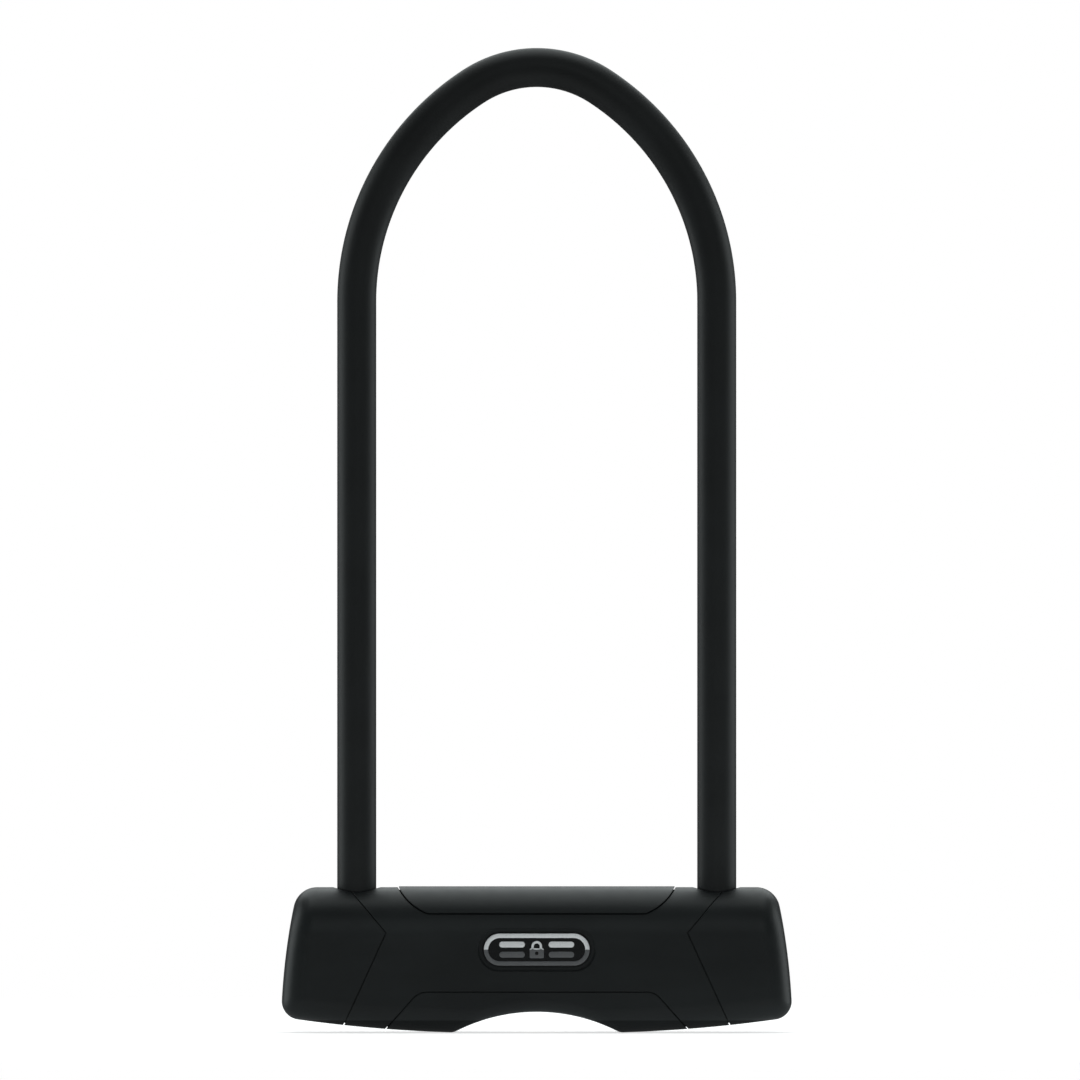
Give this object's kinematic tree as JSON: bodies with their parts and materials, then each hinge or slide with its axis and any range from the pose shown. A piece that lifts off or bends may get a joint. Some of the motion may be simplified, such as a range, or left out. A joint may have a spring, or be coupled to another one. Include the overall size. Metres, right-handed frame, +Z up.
{
  "type": "u lock",
  "caption": "U-shaped bicycle lock: a coated steel bar bent to a pointed arch, both feet bolted inside a plastic-clad crossbar with a keyway underneath.",
  "frame": {"origin": "under the middle of the crossbar, level with the lowest edge it stands on", "axes": "+Z up along the legs, X along the crossbar, -Y towards the badge"},
  "size_m": [0.1716, 0.034, 0.3314],
  "materials": {
    "bar_steel": "hardened bar, zinc plated, fine drawn lines",
    "leg_coat": "soft black coating, satin",
    "casing": "moulded black plastic, fine satin grain",
    "top_panel": "moulded black plastic, fine satin grain",
    "key_surround": "moulded black plastic, fine satin grain",
    "bush": "black sealing rubber",
    "badge_field": "gloss black",
    "badge_metal": "polished, bright above and grey below",
    "tube_steel": "hardened steel, zinc plated",
    "die_casting": "as-cast light alloy",
    "bolt_steel": "ground steel",
    "pin_steel": "blackened spring steel",
    "housing_brass": "nickel-plated brass, turned",
    "core_brass": "turned brass",
    "disc_brass": "stamped brass",
    "hard_steel": "hardened steel",
    "spring_steel": "bright spring wire"
  },
  "bodies": {
    "crossbar": {"centre_sleeve": "casing", "left_end_cap": "casing", "right_end_cap": "casing", "top_panel": "top_panel", "key_surround": "key_surround", "left_leg_bush": "bush", "right_leg_bush": "bush", "badge_plate": "badge_field", "badge_rim": "badge_metal", "badge_emblem": "badge_metal", "crossbar_tube": "tube_steel", "left_tube_plug": "tube_steel", "right_tube_plug": "tube_steel", "left_foot_block": "die_casting", "right_foot_block": "die_casting", "lock_carrier": "die_casting", "cap_pins": "pin_steel", "carrier_pins": "pin_steel", "cylinder_housing": "housing_brass", "core_clip": "spring_steel"},
    "shackle": {"shackle_bar": "bar_steel", "shackle_coating": "leg_coat"},
    "cylinder_core": {"cylinder_core": "core_brass", "shutter_retainer": "hard_steel", "lock_discs": "disc_brass", "disc_spacers": "hard_steel", "core_tail": "hard_steel", "drive_cam": "hard_steel", "shutter_spring": "spring_steel"},
    "keyway_shutter": {"keyway_shutter": "hard_steel"},
    "side_bar": {"side_bar": "hard_steel"},
    "left_bolt": {"left_bolt": "bolt_steel", "left_bolt_pin": "hard_steel"},
    "right_bolt": {"right_bolt": "bolt_steel", "right_bolt_pin": "hard_steel"}
  },
  "joints": [
    {"name": "shackle_lift", "type": "slide", "parent": "crossbar", "child": "shackle", "axis": [0, 0, 1], "range_m": [0, 0.08]},
    {"name": "core_turn", "type": "hinge", "parent": "crossbar", "child": "cylinder_core", "pos_m": [0, 0, 0.02], "axis": [0, 0, 1], "range_deg": [0, 90]},
    {"name": "left_bolt_throw", "type": "slide", "parent": "crossbar", "child": "left_bolt", "axis": [-1, 0, 0], "range_m": [0, 0.005]},
    {"name": "right_bolt_throw", "type": "slide", "parent": "crossbar", "child": "right_bolt", "axis": [1, 0, 0], "range_m": [0, 0.005]},
    {"name": "side_bar_drop", "type": "slide", "parent": "cylinder_core", "child": "side_bar", "axis": [0, 1, 0], "range_m": [0, 0.001]},
    {"name": "shutter_slide", "type": "slide", "parent": "cylinder_core", "child": "keyway_shutter", "axis": [0, 1, 0], "range_m": [0, 0.0026], "stiffness_N_per_m": 40, "springref_m": -0.001, "deforming": ["shutter_spring"]}
  ],
  "couplings": [
    {"joint": "core_turn", "follows": "left_bolt_throw", "rad_per_m": 314.16},
    {"joint": "right_bolt_throw", "follows": "left_bolt_throw", "ratio": 1}
  ]
}
